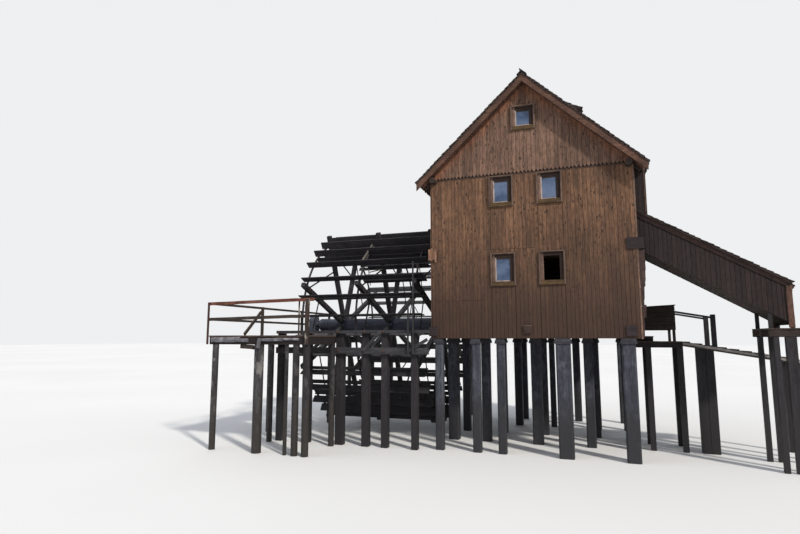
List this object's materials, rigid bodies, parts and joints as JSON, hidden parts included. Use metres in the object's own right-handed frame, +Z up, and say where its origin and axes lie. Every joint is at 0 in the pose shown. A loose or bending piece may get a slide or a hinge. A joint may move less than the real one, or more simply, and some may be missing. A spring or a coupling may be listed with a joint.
{
  "type": "watermill",
  "caption": "Boarded timber watermill on piles with a wide undershot paddle wheel in a race frame, a railed platform, a covered sloping gallery and a porch with a ramp.",
  "frame": {"origin": "foot of the pile under the middle of the house, at the level of the lowest pile feet", "axes": "+Z up, +X along the front wall from the wheel to the gallery, the front of the house faces -Y"},
  "size_m": [17.6958, 11.1613, 11.9745],
  "materials": {
    "wall_boards": "weathered",
    "roof_boards": "weathered",
    "floor_boards": "rough",
    "frame_wood": "weathered",
    "glass": "clear",
    "wheel_wood": "wet, weathered",
    "axle_wood": "weathered",
    "pile_wood": "weathered",
    "deck_wood": "weathered",
    "rail_wood": "weathered",
    "beam_wood": "weathered"
  },
  "bodies": {
    "mill": {"front_wall": "wall_boards", "back_wall": "wall_boards", "left_wall": "wall_boards", "right_wall": "wall_boards", "front_gable": "wall_boards", "back_gable": "wall_boards", "main_floor": "floor_boards", "upper_floor": "floor_boards", "attic_floor": "floor_boards", "roof_left": "roof_boards", "roof_right": "roof_boards", "ridge_cap": "roof_boards", "barge_boards": "roof_boards", "dormer_walls": "wall_boards", "dormer_roof": "roof_boards", "window_frames": "frame_wood", "window_panes": "glass", "door_frames": "frame_wood", "porch_door": "wall_boards", "beam_ends": "beam_wood", "house_piles": "pile_wood", "pile_caps": "beam_wood", "sill_beams": "beam_wood", "race_piles_near": "pile_wood", "race_piles_far": "pile_wood", "race_rails_near": "deck_wood", "race_rails_far": "deck_wood", "bearing_blocks": "pile_wood", "platform_deck": "deck_wood", "platform_beams": "deck_wood", "platform_piles": "pile_wood", "platform_railing": "rail_wood", "gallery_walls": "wall_boards", "gallery_floor": "floor_boards", "gallery_roof": "roof_boards", "head_house": "wall_boards", "landing_deck": "deck_wood", "landing_posts": "pile_wood", "porch_deck": "deck_wood", "porch_parapet": "wall_boards", "ramp": "deck_wood", "ramp_piles": "pile_wood", "ramp_rails": "deck_wood"},
    "wheel": {"wheel_axle": "axle_wood", "wheel_arms": "wheel_wood", "wheel_hoops": "wheel_wood", "wheel_paddles": "wheel_wood"}
  },
  "joints": [
    {"name": "wheel_spin", "type": "hinge", "parent": "mill", "child": "wheel", "pos_m": [-6.025, 0, 4.08], "axis": [1, 0, 0], "continuous": true}
  ]
}
